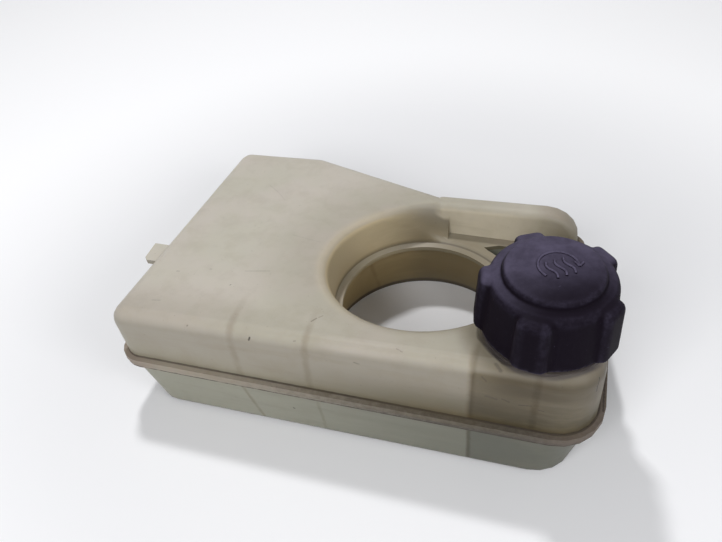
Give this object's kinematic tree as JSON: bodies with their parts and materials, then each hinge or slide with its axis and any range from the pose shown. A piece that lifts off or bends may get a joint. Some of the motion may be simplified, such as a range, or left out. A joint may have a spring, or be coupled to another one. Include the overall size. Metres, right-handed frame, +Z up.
{
  "type": "coolant expansion tank",
  "caption": "Two-piece welded plastic coolant expansion tank shaped round a strut hole, with a lobed pressure cap on its filler neck.",
  "frame": {"origin": "on the axis of the strut hole, in the plane of the weld between the two shells", "axes": "+X to the right along the straight front wall, +Y towards the back, +Z up along the strut hole and the filler neck"},
  "size_m": [0.2699, 0.2173, 0.1196],
  "materials": {
    "aged_plastic_upper": "aged translucent polypropylene, satin",
    "aged_plastic_lower": "aged translucent polypropylene, satin",
    "cap_plastic": "fine matt charcoal",
    "insert_plastic": "matt moulded",
    "seal_rubber": "matt",
    "plate_metal": "plain stamped",
    "spring_steel": "bright wire",
    "valve_brass": "turned"
  },
  "bodies": {
    "tank": {"upper_shell": "aged_plastic_upper", "lower_shell": "aged_plastic_lower"},
    "valve_plug": {"valve_cup": "insert_plastic", "rim_gasket": "seal_rubber", "plug_ring": "seal_rubber", "spring_retainer": "insert_plastic", "pressure_spring": "spring_steel"},
    "cap": {"cap_grip": "cap_plastic", "thread_insert": "insert_plastic"},
    "pressure_valve": {"pressure_plate": "plate_metal", "pressure_seal": "seal_rubber", "vacuum_spring": "spring_steel"},
    "vacuum_valve": {"vacuum_poppet": "valve_brass", "vacuum_seal": "seal_rubber", "vacuum_clip": "valve_brass"}
  },
  "joints": [
    {"name": "cap_lift", "type": "slide", "parent": "tank", "child": "valve_plug", "axis": [0, 0, 1], "range_m": [0, 0.0101]},
    {"name": "cap_turn", "type": "hinge", "parent": "valve_plug", "child": "cap", "pos_m": [0.0696, -0.0422, 0.06], "axis": [0, 0, 1], "range_deg": [0, 900]},
    {"name": "pressure_open", "type": "slide", "parent": "valve_plug", "child": "pressure_valve", "axis": [0, 0, 1], "range_m": [0, 0.003], "stiffness_N_per_m": 1500, "springref_m": -0.01, "deforming": ["pressure_spring"]},
    {"name": "vacuum_open", "type": "slide", "parent": "pressure_valve", "child": "vacuum_valve", "axis": [0, 0, -1], "range_m": [0, 0.0015], "stiffness_N_per_m": 60, "springref_m": -0.003, "deforming": ["vacuum_spring"]}
  ],
  "couplings": [
    {"joint": "cap_lift", "follows": "cap_turn", "m_per_rad": 0.00063662}
  ]
}
